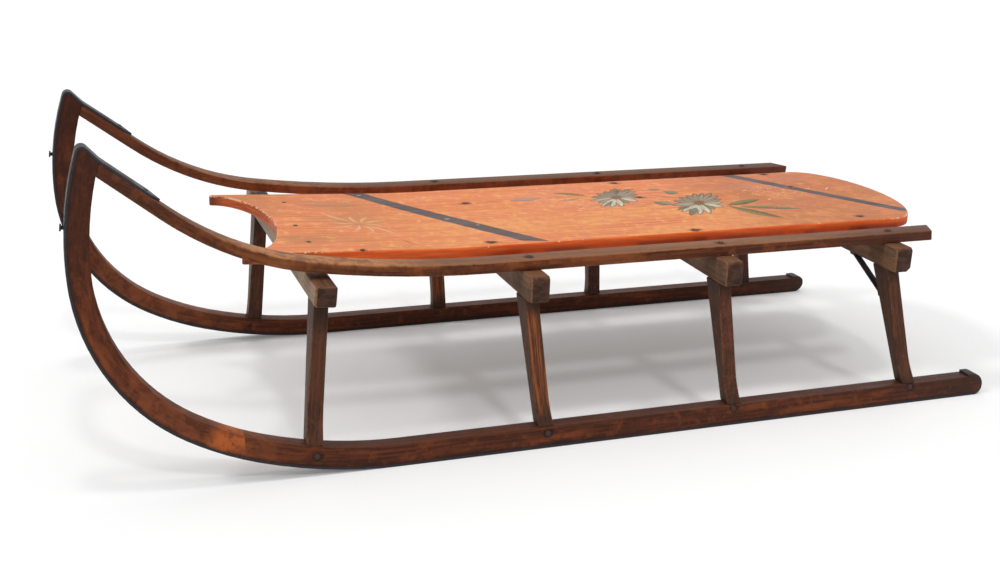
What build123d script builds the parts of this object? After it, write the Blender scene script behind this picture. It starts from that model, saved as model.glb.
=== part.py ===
from build123d import *
from math import acos, cos, degrees, radians, sin, tan
import os

# Wooden child's sled. X points forward to the upturned noses, Y to the left, Z up, millimetres.
# X values below count from a point near the sled's middle. At the end the pieces are moved
# so that the origin is on the floor under the exact middle.

# Side frames: each runner, its rail and its posts lie in one plane that leans inward
RUNNER_GAUGE = 363.4        # between the runners' middles at floor level
FRAME_LEAN = 9.65           # degrees from upright
RUNNER_W = 16.0
RUNNER_DEPTH = 17.9         # of the wood alone
TAIL_X = -469.0             # rearmost point of the shoe
BEND_START_X = 186.7        # where the runner leaves the floor

# Runner bend along the face of the shoe: radius and turn in degrees of each stretch.
# The last stretch turns on until the runner's back meets the top of the rail.
RUNNER_BENDS = (
    (460.0, 16.5),
    (290.0, 13.5),
    (178.0, 58.0),
)
NOSE_BEND_R = 300.0
NOSE_DIP = 9.0              # degrees by which the nose's tip is steeper than the rail
NOSE_KNEE_R = 25.0          # of the hollow between tip and rail

# Iron shoe
SHOE_T = 2.4
SHOE_W = 16.0
SHOE_TAB = 7.0              # length left on top of the tail
SHOE_ON_RAIL = 57.0         # length from the nose back along the rail
SHOE_POINT = 9.0            # length of the pointed end
NOSE_TIP_R = 3.2            # of the wood under the shoe

# Rails
RAIL_T = 10.0
RAIL_W = 23.4
RAIL_NOSE_W = 16.0
RAIL_REAR_X = -405.0
RAIL_REAR_SLANT = 10.5      # how far the outer corner stands forward of the inner one
RAIL_TAPER_X = 276.0        # where the rail starts to narrow towards the nose
RAIL_BEND_X = 96.7          # where the rail starts to rise
RAIL_BEND_R = 1100.0
RAIL_BEND_TURN = 8.8
RAIL_SWEEP_R = 278.0
RAIL_SWEEP_TURN = 28.3
RAIL_SWELL = 7.0            # the top bends this much tighter, so the rail thickens towards the nose

# Bed: the line on which the deck lies on the beams
BED_Z = 172.0
BED_BEND_X = 95.0           # where the bed starts to rise
BED_BEND_R = 1100.0
BED_BEND_TURN = 2.5

# Cross-beams
BEAM_W = 20.0
BEAM_H = 25.4
BEAM_OVERHANG = 11.0        # past the posts' heads
BEAM_END_CHAMFER = 3.0
BEAM_REAR_CLIP = 4.0        # of the rear beam's lower rear edge
BEAM_CORNER_X = 2.0         # how far back the worn front corners of a beam's ends reach
BEAMS = (
    # front x, rise of the underside above the others, tilt in degrees, worn length of a front corner
    (266.2, 12.9, 5.0, 3.0),
    (64.5, 0.0, 0.0, 8.0),
    (-139.2, 0.0, 0.0, 12.0),
    (-336.6, 0.0, 0.0, 5.0),
)

# Posts: how far the head stands behind the beam's front, and the foot forward of the head
POST_BACK = {"left": (2.0, 0.0, 0.0, 0.0), "right": (5.0, 3.2, 0.8, 3.8)}
POST_RAKE = {"left": (10.5, -14.4, -15.7, -29.7), "right": (7.6, -14.4, -15.7, -29.7)}
POST_HEAD_T = 13.4
POST_FOOT_T = 15.6
POST_HEAD_W = 25.7
POST_HEAD_OUT = 16.2        # from the frame's middle plane to the head's outer face
POST_WAIST_W = 13.0
POST_WAIST_H = 32.0         # of the waist above the runner
TENON_T = 7.0
TENON_W = 15.0
TENON_L = 12.0
FOOT_TENON_W = 8.0
FOOT_TENON_L = 9.0
MORTISE_SPARE = 1.0         # a mortise is this much deeper than its tenon
TENON_ROOT = 2.0            # how far a tenon's solid reaches into its post
POST_INSET = 0.3            # the foot's sides stand this far inside the runner's

# Deck board
DECK_T = 10.4
DECK_HALF_W = 110.0
DECK_HORN_X = 315.7
DECK_NOTCH_L = 47.5         # depth of the hollow between the horns
DECK_HORN_W = 6.0
DECK_ROUND_X = -386.3       # where the rounded rear starts
DECK_ROUND_L = 55.0
DECK_EDGE_R = 2.5
DECK_HORN_R = 2.4

# Iron braces at the rear beam
BRACE_T = 2.6
BRACE_W = 7.0
BRACE_TAB = 6.0
BRACE_REACH = 36.5          # from the post's head in to the brace's bend under the beam
BRACE_DROP = 31.0           # from the beam down to the brace's bend on the post
BRACE_BACK = 0.5            # behind the post's front face

# Tow studs on the noses
STUD_Z = 233.5
STUD_D = 3.6
STUD_HEAD_D = 6.4
STUD_HEAD_T = 1.4
STUD_OUT = 3.4
STUD_IN = 11.0
STUD_STEPS = 200            # places tried along the nose to find the stud's height

RUNNER_TOP_Z = SHOE_T + RUNNER_DEPTH
LEAN = tan(radians(FRAME_LEAN))
FAR = 1000.0                # past every face of the sled
SPARE = 5.0                 # how far a cutter or blank reaches past the face it makes


def heading(angle):
    return Vector(cos(radians(angle)), sin(radians(angle)))


def bent(start, angle, bends):
    """Edges in the side view: each bend is (radius, turn), or (length, None) for a straight."""
    edges = []
    point = Vector(*start)
    for size, turn in bends:
        if turn is None:
            end = point + heading(angle) * size
            edges.append(Edge.make_line(point, end))
        else:
            arc = JernArc(start=point, tangent=heading(angle), radius=size, arc_size=turn).edge()
            end = arc @ 1
            angle += turn
            edges.append(arc)
        point = end
    return edges, point, angle


def side_face(edges):
    return Face(Wire(edges))


def polygon(points):
    corners = [Vector(*p) for p in points]
    edges = [Edge.make_line(a, b) for a, b in zip(corners, corners[1:] + corners[:1])]
    return Face(Wire(edges))


def across(face):
    """A side view, drawn in X and Z, made solid across the whole width of the sled."""
    upright = Plane.XZ * face
    return Solid.extrude(upright.moved(Location((0, FAR, 0))), Vector(0, -2 * FAR, 0))


def leaning(points):
    """A plan, drawn at floor level about a runner's middle, made solid along the frame's lean."""
    face = polygon([(x, RUNNER_GAUGE / 2 + y) for x, y in points])
    return Solid.extrude(face, Vector(0, -LEAN * FAR, FAR))


def block(x0, x1, y0, y1, z0, z1):
    box = Solid.make_box(x1 - x0, y1 - y0, z1 - z0)
    return box.moved(Location((x0, y0, z0)))


def one(shape):
    solids = shape.solids()
    return max(solids, key=lambda s: s.volume)


# Rail side view: the underside, and the top that swells away from it
RAIL_SLOPE = RAIL_BEND_TURN + RAIL_SWEEP_TURN
NOSE_RUN = 90.0             # straight end of the rail's blank, past the nose
under, under_end, _ = bent((RAIL_BEND_X, BED_Z), 0, (
    (RAIL_BEND_R, RAIL_BEND_TURN),
    (RAIL_SWEEP_R, RAIL_SWEEP_TURN),
    (NOSE_RUN, None),
))
over, over_end, _ = bent((RAIL_BEND_X, BED_Z + RAIL_T), 0, (
    (RAIL_BEND_R - RAIL_T, RAIL_BEND_TURN),
    (RAIL_SWEEP_R - RAIL_T - RAIL_SWELL, RAIL_SWEEP_TURN),
    (NOSE_RUN, None),
))
rear_low = Vector(RAIL_REAR_X - SPARE, BED_Z)
rear_high = Vector(RAIL_REAR_X - SPARE, BED_Z + RAIL_T)
rail_side = side_face(
    [Edge.make_line(rear_low, Vector(RAIL_BEND_X, BED_Z))]
    + under
    + [Edge.make_line(under_end, over_end)]
    + over
    + [Edge.make_line(Vector(RAIL_BEND_X, BED_Z + RAIL_T), rear_high),
       Edge.make_line(rear_high, rear_low)]
)


def crossing(point_a, dir_a, point_b, dir_b):
    """Where two lines of the side view meet."""
    gap = point_b - point_a
    cross = dir_a.X * dir_b.Y - dir_a.Y * dir_b.X
    return point_a + dir_a * ((gap.X * dir_b.Y - gap.Y * dir_b.X) / cross)


# The nose: its last bend ends where the runner's back meets the line of the rail's top
_, bend_start, bend_angle = bent((BEND_START_X, SHOE_T), 0,
                                 [(radius - SHOE_T, turn) for radius, turn in RUNNER_BENDS])
bend_side = heading(bend_angle + 90)
bend_centre = bend_start + bend_side * (NOSE_BEND_R - SHOE_T)
rail_up = heading(RAIL_SLOPE + 90)
rise = (bend_centre - over_end).dot(rail_up)
front_angle = RAIL_SLOPE + degrees(acos(rise / (NOSE_BEND_R - RUNNER_TOP_Z)))


def runner_bends(depth):
    bends = RUNNER_BENDS + ((NOSE_BEND_R, front_angle - bend_angle),)
    return tuple((radius - depth, turn) for radius, turn in bends)


# The tip's slope starts at that meeting point, the knee, and ends at the corner under the tip
front_dir = heading(front_angle)
tip_angle = RAIL_SLOPE + NOSE_DIP
inner, knee, _ = bent((BEND_START_X, RUNNER_TOP_Z), 0, runner_bends(RUNNER_TOP_Z))
_, front_end, _ = bent((BEND_START_X, SHOE_T), 0, runner_bends(SHOE_T))
nose_corner = crossing(front_end, front_dir, knee, heading(tip_angle))
tip_turn = 180 + tip_angle - front_angle
tip_trim = NOSE_TIP_R * tan(radians(tip_turn / 2))
knee_trim = NOSE_KNEE_R * tan(radians(NOSE_DIP / 2))
front_run = (nose_corner - front_end).length - tip_trim
tip_run = (nose_corner - knee).length - tip_trim - knee_trim
tail_r = RUNNER_DEPTH / 2


NOSE_BEND = 3 + len(RUNNER_BENDS)   # the nose's bend, counted along the line of hoop


def hoop(depth):
    """The shoe's line at a depth under its face, from the tail's top round to the rail."""
    above = SHOE_T - depth
    bends = ((SHOE_TAB, None), (tail_r + above, 180))
    bends += ((BEND_START_X - TAIL_X - tail_r - SHOE_T, None),)
    bends += runner_bends(depth)
    bends += ((front_run, None), (NOSE_TIP_R + above, tip_turn))
    bends += ((tip_run, None), (NOSE_KNEE_R - above, -NOSE_DIP))
    bends += ((SHOE_ON_RAIL, None),)
    start = (TAIL_X + tail_r + SHOE_T + SHOE_TAB, RUNNER_TOP_Z + above)
    return bent(start, 180, bends)


# Side views of runner and shoe
wood_line, _, _ = hoop(SHOE_T)
wood_line = wood_line[1:-2]
runner_side = side_face(
    wood_line
    + [Edge.make_line(wood_line[-1] @ 1, knee)]
    + inner
    + [Edge.make_line(Vector(BEND_START_X, RUNNER_TOP_Z), wood_line[0] @ 0)]
)
face_line, face_end, _ = hoop(0)
back_line, back_end, _ = hoop(SHOE_T)
shoe_side = side_face(
    face_line
    + [Edge.make_line(face_end, back_end)]
    + back_line
    + [Edge.make_line(back_line[0] @ 0, face_line[0] @ 0)]
)

# Everything behind the runner's back face and above its top, as a side view
behind_top = knee + front_dir * NOSE_RUN
behind = side_face(
    inner
    + [Edge.make_line(knee, behind_top),
       Edge.make_line(behind_top, Vector(TAIL_X, FAR)),
       Edge.make_line(Vector(TAIL_X, FAR), Vector(TAIL_X, RUNNER_TOP_Z)),
       Edge.make_line(Vector(TAIL_X, RUNNER_TOP_Z), Vector(BEND_START_X, RUNNER_TOP_Z))]
)


def strip(x0, x1, width):
    return [(x0, -width / 2), (x1, -width / 2), (x1, width / 2), (x0, width / 2)]


def make_runner():
    return across(runner_side) & leaning(strip(TAIL_X - SPARE, FAR, RUNNER_W))


def make_rail():
    half = RAIL_W / 2
    nose = RAIL_NOSE_W / 2
    plan = [
        (RAIL_REAR_X, -half),
        (RAIL_TAPER_X, -half),
        (knee.X, -nose),
        (FAR, -nose),
        (FAR, nose),
        (knee.X, nose),
        (RAIL_TAPER_X, half),
        (RAIL_REAR_X + RAIL_REAR_SLANT, half),
    ]
    return across(rail_side) & leaning(plan) & across(behind)


def make_shoe():
    half = SHOE_W / 2
    point_x = face_end.X
    shoe = across(shoe_side) & leaning(strip(TAIL_X - SPARE, FAR, SHOE_W))
    for side in (-1, 1):
        cut = leaning([
            (point_x, 0),
            (point_x + SHOE_POINT, side * half),
            (point_x + SHOE_POINT, side * (half + SPARE)),
            (point_x - SPARE, side * (half + SPARE)),
            (point_x - SPARE, 0),
        ])
        shoe = shoe - (cut & block(-FAR, FAR, -FAR, FAR, BED_Z, FAR))
    return shoe


def runner_middle(z):
    return RUNNER_GAUGE / 2 - LEAN * z


HEAD_OUT_Y = runner_middle(BED_Z - BEAM_H) + POST_HEAD_OUT
HEAD_IN_Y = HEAD_OUT_Y - POST_HEAD_W


# Cross-beams: each in its own frame, whose origin is the middle of its front lower edge
def beam_frame(index):
    x, rise, tilt, _ = BEAMS[index]
    return Location((x, 0, BED_Z - BEAM_H + rise), (0, -tilt, 0))


bed_line, bed_end, _ = bent((BED_BEND_X, BED_Z), 0, ((BED_BEND_R, BED_BEND_TURN), (FAR / 2, None)))
above_bed = across(side_face(
    bed_line
    + [Edge.make_line(bed_end, Vector(bed_end.X, FAR)),
       Edge.make_line(Vector(bed_end.X, FAR), Vector(-FAR, FAR)),
       Edge.make_line(Vector(-FAR, FAR), Vector(-FAR, BED_Z)),
       Edge.make_line(Vector(-FAR, BED_Z), Vector(BED_BEND_X, BED_Z))]
))


def make_beam(index):
    end = HEAD_OUT_Y + BEAM_OVERHANG
    worn = BEAMS[index][-1]
    body = block(-BEAM_W, 0, -end, end, 0, BEAM_H + SPARE)
    for side in (-1, 1):
        front = polygon([(-BEAM_CORNER_X, side * end), (0, side * (end - worn)), (0, side * end)])
        body = body - Solid.extrude(front, Vector(0, 0, BEAM_H + SPARE))
        corner = Plane.YZ * polygon([
            (side * (end - BEAM_END_CHAMFER - SPARE), BEAM_H + SPARE),
            (side * (end + SPARE), BEAM_H - BEAM_END_CHAMFER - SPARE),
            (side * (end + SPARE), BEAM_H + SPARE),
        ])
        corner = Solid.extrude(corner.moved(Location((-FAR, 0, 0))), Vector(2 * FAR, 0, 0))
        body = body - corner
    if index == len(BEAMS) - 1:
        body = body - across(polygon([
            (-BEAM_W, 0),
            (-BEAM_W + BEAM_REAR_CLIP, 0),
            (-BEAM_W, BEAM_REAR_CLIP),
        ]))
    return body.moved(beam_frame(index)) - above_bed


def head_point(side, index, back=0.0):
    """The post's head under its beam: its front, or a place further back."""
    return (beam_frame(index) * Location((-POST_BACK[side][index] - back, 0, 0))).position


def top_tenon(side, index, spare=0.0):
    middle = (HEAD_IN_Y + HEAD_OUT_Y) / 2
    front = -POST_BACK[side][index] - (POST_HEAD_T - TENON_T) / 2
    y0 = middle - TENON_W / 2
    tenon = block(front - TENON_T, front, y0, y0 + TENON_W, -TENON_ROOT, TENON_L + spare)
    return tenon.moved(beam_frame(index))


def foot_x(side, index):
    return head_point(side, index).X + POST_RAKE[side][index]


def foot_height(x):
    """Top of the runner at a place along it."""
    if x <= BEND_START_X:
        return RUNNER_TOP_Z
    radius = RUNNER_BENDS[0][0] - RUNNER_TOP_Z
    return RUNNER_TOP_Z + radius - (radius ** 2 - (x - BEND_START_X) ** 2) ** 0.5


def foot_inner(side, index):
    """The post's inner face: its place at the foot, and how far it leans out per height."""
    ground = foot_height(foot_x(side, index))
    y = runner_middle(ground) - RUNNER_W / 2 + POST_INSET
    return y, (y - HEAD_IN_Y) / (head_point(side, index).Z - ground)


def foot_tenon(side, index, spare=0.0):
    middle = foot_x(side, index) - POST_FOOT_T / 2
    z = foot_height(middle)
    y = runner_middle(z - FOOT_TENON_L / 2)
    half = FOOT_TENON_W / 2
    low = z - FOOT_TENON_L - spare
    return block(middle - half, middle + half, y - half, y + half, low, z + TENON_ROOT)


def make_post(side, index):
    head = head_point(side, index)
    rear = head_point(side, index, POST_HEAD_T)
    foot = foot_x(side, index)
    ground = foot_height(foot)
    deep = ground - RUNNER_DEPTH / 2
    drop = (head.Z - deep) / (head.Z - ground)
    thicker = (rear.X - head.X + POST_FOOT_T) * (drop - 1)
    side_view = across(polygon([
        (head.X, head.Z),
        (head.X + (foot - head.X) * drop, deep),
        (foot - POST_FOOT_T + (foot - head.X) * (drop - 1) - thicker, deep),
        (rear.X, rear.Z),
    ]))
    foot_in, lean_in = foot_inner(side, index)
    foot_out = foot_in + RUNNER_W - 2 * POST_INSET
    waist_z = ground + POST_WAIST_H
    waist = Vector(HEAD_IN_Y + lean_in * (head.Z - waist_z) + POST_WAIST_W, waist_z)
    top_out = Vector(HEAD_OUT_Y, head.Z)
    inward = (waist - top_out).normalized()
    flare = Vector(foot_out, ground)
    hollow = waist + inward * (POST_WAIST_H / 2)
    top_in = Vector(HEAD_IN_Y - lean_in * SPARE, head.Z + SPARE)
    above_out = top_out - inward * SPARE
    low_out = Vector(foot_out, deep)
    low_in = Vector(foot_in + lean_in * (ground - deep), deep)
    front_view = Plane.YZ * side_face([
        Edge.make_line(top_in, above_out),
        Edge.make_line(above_out, waist),
        Edge.make_bezier(waist, hollow, flare),
        Edge.make_line(flare, low_out),
        Edge.make_line(low_out, low_in),
        Edge.make_line(low_in, top_in),
    ])
    front_view = Solid.extrude(front_view.moved(Location((-FAR, 0, 0))), Vector(2 * FAR, 0, 0))
    post = side_view & front_view & across(behind)
    return one(post + top_tenon(side, index) + foot_tenon(side, index))


# Deck: one board bent along the bed line, with a hollowed front and a rounded rear
def shared(edge, faces):
    """True for an edge that lies between two of the faces."""
    middle = edge @ 0.5
    return sum(f.distance_to(middle) < 0.001 for f in faces) > 1


def make_deck():
    low, low_end, _ = bent((BED_BEND_X, BED_Z), 0, ((BED_BEND_R, BED_BEND_TURN), (FAR / 2, None)))
    high, high_end, _ = bent((BED_BEND_X, BED_Z + DECK_T), 0,
                             ((BED_BEND_R - DECK_T, BED_BEND_TURN), (FAR / 2, None)))
    rear = -FAR
    side = side_face(
        [Edge.make_line(Vector(rear, BED_Z), Vector(BED_BEND_X, BED_Z))]
        + low
        + [Edge.make_line(low_end, high_end)]
        + high
        + [Edge.make_line(Vector(BED_BEND_X, BED_Z + DECK_T), Vector(rear, BED_Z + DECK_T)),
           Edge.make_line(Vector(rear, BED_Z + DECK_T), Vector(rear, BED_Z))]
    )
    half = DECK_HALF_W
    length = DECK_HORN_X - DECK_ROUND_X
    board = Pos((DECK_HORN_X + DECK_ROUND_X) / 2, 0) * Rectangle(length, 2 * half)
    board += Pos(DECK_ROUND_X, 0) * Ellipse(DECK_ROUND_L, half)
    board -= Pos(DECK_HORN_X, 0) * Ellipse(DECK_NOTCH_L, half - DECK_HORN_W)
    tips = board.vertices().group_by(Axis.X)[-1]
    board = fillet(tips, DECK_HORN_R)
    plan = Solid.extrude(board.face(), Vector(0, 0, FAR / 2))
    deck = one(across(side) & plan)
    tops = [f for f in deck.faces() if f.normal_at().Z > 0.9]
    rims = [e for f in tops for e in f.outer_wire().edges() if not shared(e, tops)]
    return deck.fillet(DECK_EDGE_R, rims)


def make_brace(side):
    """A strip that lies under the beam and down the post, and follows the post's rake."""
    index = len(BEAMS) - 1
    head = head_point(side, index)
    _, lean_in = foot_inner(side, index)
    down = head.Z - foot_height(foot_x(side, index))
    rake = Vector(-POST_RAKE[side][index], 0, down).normalized()
    half = BRACE_T / 2
    lean_in *= rake.Z
    away = half * (1 + lean_in ** 2) ** 0.5

    def on_post(drop):
        return (HEAD_IN_Y + lean_in * drop - away, -drop)

    path = Polyline(
        (HEAD_IN_Y - BRACE_REACH - BRACE_TAB, -half),
        (HEAD_IN_Y - BRACE_REACH, -half),
        on_post(BRACE_DROP),
        on_post(BRACE_DROP + BRACE_TAB),
    )
    corner = head - Vector(BRACE_BACK + BRACE_W, 0, 0)
    plane = Plane(origin=corner, x_dir=(0, 1, 0), z_dir=Vector(0, 1, 0).cross(rake))
    return Solid.extrude(plane * trace(path, BRACE_T).face(), Vector(BRACE_W, 0, 0))


def make_stud():
    nose_bend = face_line[NOSE_BEND]
    places = [i / STUD_STEPS for i in range(STUD_STEPS + 1)]
    best = min(places, key=lambda t: abs((nose_bend @ t).Y - STUD_Z))
    point = nose_bend @ best
    along = nose_bend % best
    normal = Vector(along.Y, 0, -along.X)
    base = Vector(point.X, runner_middle(STUD_Z), point.Y) - normal * STUD_IN
    shank = Solid.make_cylinder(STUD_D / 2, STUD_IN + STUD_OUT, Plane(origin=base, z_dir=normal))
    cap = Plane(origin=base + normal * (STUD_IN + STUD_OUT - STUD_HEAD_T), z_dir=normal)
    return one(shank + Solid.make_cylinder(STUD_HEAD_D / 2, STUD_HEAD_T, cap))


# Assembly: each side is modelled on the left, and the right one is mirrored
pieces = {}
stud = make_stud()
for side in ("left", "right"):
    runner = make_runner() - stud
    for i in range(len(BEAMS)):
        runner = runner - foot_tenon(side, i, MORTISE_SPARE)
    own = {
        "runner": one(runner),
        "rail": one(make_rail()),
        "shoe": one(make_shoe() - stud),
        "rear_brace": make_brace(side),
        "tow_stud": stud,
    }
    for i in range(len(BEAMS)):
        own[f"post_{i + 1}"] = make_post(side, i)
    for name, solid in own.items():
        pieces[f"{name}_{side}"] = solid if side == "left" else solid.mirror(Plane.XZ)

for i in range(len(BEAMS)):
    mortises = top_tenon("left", i, MORTISE_SPARE) + top_tenon("right", i, MORTISE_SPARE).mirror(Plane.XZ)
    pieces[f"beam_{i + 1}"] = one(make_beam(i) - mortises)
pieces["deck"] = make_deck()

boxes = [piece.bounding_box() for piece in pieces.values()]
middle_x = (min(box.min.X for box in boxes) + max(box.max.X for box in boxes)) / 2

os.makedirs("parts", exist_ok=True)
for name, piece in pieces.items():
    solid = piece.moved(Location((-middle_x, 0, 0)))
    solid.label = name
    export_step(solid, f"parts/{name}.step")
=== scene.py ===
from math import cos, hypot, pi, radians, sin, tan

import bpy
import bmesh
from mathutils import Matrix, Vector


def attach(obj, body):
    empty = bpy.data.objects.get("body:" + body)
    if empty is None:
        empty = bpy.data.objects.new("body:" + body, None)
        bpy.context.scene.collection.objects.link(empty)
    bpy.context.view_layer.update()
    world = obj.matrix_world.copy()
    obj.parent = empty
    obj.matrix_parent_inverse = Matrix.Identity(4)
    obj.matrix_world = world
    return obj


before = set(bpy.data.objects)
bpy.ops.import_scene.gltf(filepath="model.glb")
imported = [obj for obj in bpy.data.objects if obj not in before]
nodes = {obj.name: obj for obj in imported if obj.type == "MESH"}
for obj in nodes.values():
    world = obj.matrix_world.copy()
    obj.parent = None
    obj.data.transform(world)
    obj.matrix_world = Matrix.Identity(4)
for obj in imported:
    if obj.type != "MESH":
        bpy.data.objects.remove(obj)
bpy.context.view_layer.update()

scene = bpy.context.scene

# The side view of the bent pieces, in metres, with X from the middle of the sled:
# where the bends start, and each bend's radius and turn in degrees
SHIFT = -0.00116
RUNNER_START = (0.1867 + SHIFT, 0.0)
RUNNER_BENDS = ((0.460, 16.5), (0.290, 13.5), (0.178, 58.0), (0.300, 22.0))
RAIL_START = (0.0967 + SHIFT, 0.172)
RAIL_BENDS = ((1.100, 8.8), (0.278, 28.3))

# The side frames' inward lean, and the distance between their feet
LEAN_ANGLE = radians(9.65)
LEAN = tan(LEAN_ANGLE)
GAUGE = 0.3634

# How far forward the posts' grain leans for each metre of height
MIDDLE_POST_LEAN = 0.115
FRONT_POST_LEAN = -0.080
REAR_POST_MORE_LEAN = 0.120

# Places of the small fasteners: nails in the deck and screws in the rails seen from above,
# pins in the runners seen from the side, and one nail in each strap seen from above
DECK_TOP = 0.1824
RAIL_TOP = 0.182
RUNNER_SIDE = 0.0081
NAIL_PLACES = ((0.2422, -0.0735), (0.2482, 0.0175), (0.2473, 0.0763), (0.2030, 0.1071),
               (0.0507, -0.0488), (0.0722, 0.0984), (-0.1497, -0.0322), (-0.1480, 0.1041),
               (-0.3505, -0.1030), (-0.3486, -0.0398), (-0.3527, 0.0949), (-0.1496, -0.0995))
PIN_PLACES = ((0.2645, 0.0185), (0.0397, 0.0140), (-0.1627, 0.0164), (-0.3758, 0.0170))
SCREW_X = (0.0533, -0.1504, -0.3478)
SCREW_Y = GAUGE / 2 - LEAN * RAIL_TOP + 0.001
STRAP_NAIL = (0.3985, 0.1387)


def on_runner(x, z, side):
    """A spot on a runner's outer face, from its place in the side view."""
    return (x, side * (GAUGE / 2 - LEAN * z + RUNNER_SIDE), z)


NAILS = tuple((x, y, DECK_TOP) for x, y in NAIL_PLACES)
SCREWS = tuple((x, side * SCREW_Y, RAIL_TOP) for x in SCREW_X for side in (1, -1))
PINS = tuple(on_runner(x, z, side) for side in (1, -1) for x, z in PIN_PLACES)


def srgb(r, g, b):
    """A colour given from 0 to 255, made linear."""
    linear = []
    for level in (r / 255, g / 255, b / 255):
        linear.append(level / 12.92 if level <= 0.04045 else ((level + 0.055) / 1.055) ** 2.4)
    return (*linear, 1.0)


class Shade:
    """A short way to write one material's nodes."""

    def __init__(self, name):
        self.mat = bpy.data.materials.new(name)
        self.mat.use_nodes = True
        self.tree = self.mat.node_tree
        self.tree.nodes.clear()
        self.out = self.tree.nodes.new("ShaderNodeOutputMaterial")
        self.bsdf = self.tree.nodes.new("ShaderNodeBsdfPrincipled")
        self.tree.links.new(self.bsdf.outputs[0], self.out.inputs[0])
        coord = self.tree.nodes.new("ShaderNodeTexCoord")
        self.place = coord.outputs["Object"]
        self.x, self.y, self.z = self.split(self.place)
        geometry = self.tree.nodes.new("ShaderNodeNewGeometry")
        self.nx, self.ny, self.nz = self.split(geometry.outputs["Normal"])

    def put(self, socket, value):
        """Links an output to a socket, or sets the socket's own value."""
        if isinstance(value, bpy.types.NodeSocket):
            self.tree.links.new(value, socket)
        else:
            socket.default_value = value

    def split(self, vector):
        node = self.tree.nodes.new("ShaderNodeSeparateXYZ")
        self.put(node.inputs[0], vector)
        return node.outputs[0], node.outputs[1], node.outputs[2]

    def join(self, x, y, z):
        node = self.tree.nodes.new("ShaderNodeCombineXYZ")
        for socket, value in zip(node.inputs, (x, y, z)):
            self.put(socket, value)
        return node.outputs[0]

    def math(self, op, *values):
        """One step of arithmetic."""
        node = self.tree.nodes.new("ShaderNodeMath")
        node.operation = op
        for socket, value in zip(node.inputs, values):
            self.put(socket, value)
        return node.outputs[0]

    def add(self, a, b):
        return self.math("ADD", a, b)

    def sub(self, a, b):
        return self.math("SUBTRACT", a, b)

    def mul(self, a, b):
        return self.math("MULTIPLY", a, b)

    def least(self, a, b):
        return self.math("MINIMUM", a, b)

    def most(self, a, b):
        return self.math("MAXIMUM", a, b)

    def absolute(self, a):
        return self.math("ABSOLUTE", a)

    def length(self, a, b):
        return self.math("SQRT", self.add(self.mul(a, a), self.mul(b, b)))

    def lens(self, part):
        """0 at both ends of a span that goes from 0 to 1, and 1 in its middle."""
        return self.mul(self.sub(part, self.mul(part, part)), 4.0)

    def vector(self, op, *values):
        """One step of vector arithmetic."""
        node = self.tree.nodes.new("ShaderNodeVectorMath")
        node.operation = op
        for socket, value in zip(node.inputs, values):
            self.put(socket, value)
        return node.outputs["Value" if op == "LENGTH" else "Vector"]

    def ramp(self, value, low, high, out_low=0.0, out_high=1.0, smooth=True):
        """Goes from out_low to out_high while the value goes from low to high."""
        node = self.tree.nodes.new("ShaderNodeMapRange")
        node.interpolation_type = "SMOOTHSTEP" if smooth else "LINEAR"
        node.clamp = True
        for socket, given in zip(node.inputs, (value, low, high, out_low, out_high)):
            self.put(socket, given)
        return node.outputs[0]

    def mix(self, factor, a, b):
        """One colour laid over another."""
        node = self.tree.nodes.new("ShaderNodeMix")
        node.data_type = "RGBA"
        self.put(node.inputs[0], factor)
        self.put(node.inputs[6], a)
        self.put(node.inputs[7], b)
        return node.outputs[2]

    def blend(self, factor, a, b):
        """One number instead of another."""
        node = self.tree.nodes.new("ShaderNodeMix")
        node.data_type = "FLOAT"
        self.put(node.inputs[0], factor)
        self.put(node.inputs[2], a)
        self.put(node.inputs[3], b)
        return node.outputs[0]

    def noise(self, vector, scale=1.0, detail=3.0, rough=0.55, bend=0.0):
        node = self.tree.nodes.new("ShaderNodeTexNoise")
        self.put(node.inputs["Vector"], vector)
        node.inputs["Scale"].default_value = scale
        node.inputs["Detail"].default_value = detail
        node.inputs["Roughness"].default_value = rough
        node.inputs["Distortion"].default_value = bend
        return node.outputs["Fac"]

    def streaks(self, places, scales, detail=3.0, rough=0.6, bend=0.0):
        """Noise with its own scale in each of three directions."""
        scaled = [self.mul(place, scale) for place, scale in zip(places, scales)]
        return self.noise(self.join(*scaled), 1.0, detail, rough, bend)

    def bump(self, height, distance, strength):
        node = self.tree.nodes.new("ShaderNodeBump")
        node.inputs["Strength"].default_value = strength
        node.inputs["Distance"].default_value = distance
        self.put(node.inputs["Height"], height)
        return node.outputs[0]

    def along(self, start, bends):
        """Length along a bent piece and height over its lower face, from the side view.

        The piece is straight up to the start, then has the bends, and ends straight."""
        straight_end = ((None, None),)
        x, z = start
        angle = 0.0
        length = self.sub(self.x, x)
        depth = self.sub(self.z, z)
        done = 0.0
        reached = 1.0
        for radius, turn in bends + straight_end:
            forward = (cos(radians(angle)), sin(radians(angle)))
            up = (-forward[1], forward[0])
            dx = self.sub(self.x, x)
            dz = self.sub(self.z, z)
            ahead = self.add(self.mul(dx, forward[0]), self.mul(dz, forward[1]))
            above = self.add(self.mul(dx, up[0]), self.mul(dz, up[1]))
            reached = self.mul(reached, self.math("GREATER_THAN", ahead, 0.0))
            if radius is None:
                here_length = self.add(ahead, done)
                here_depth = above
            else:
                below = self.sub(radius, above)
                turned = self.math("ARCTAN2", ahead, below)
                here_length = self.add(self.mul(turned, radius), done)
                here_depth = self.sub(radius, self.length(ahead, below))
                done += radius * radians(turn)
                x += radius * (sin(radians(angle + turn)) - sin(radians(angle)))
                z += radius * (cos(radians(angle)) - cos(radians(angle + turn)))
                angle += turn
            length = self.blend(reached, length, here_length)
            depth = self.blend(reached, depth, here_depth)
        return length, depth


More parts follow.
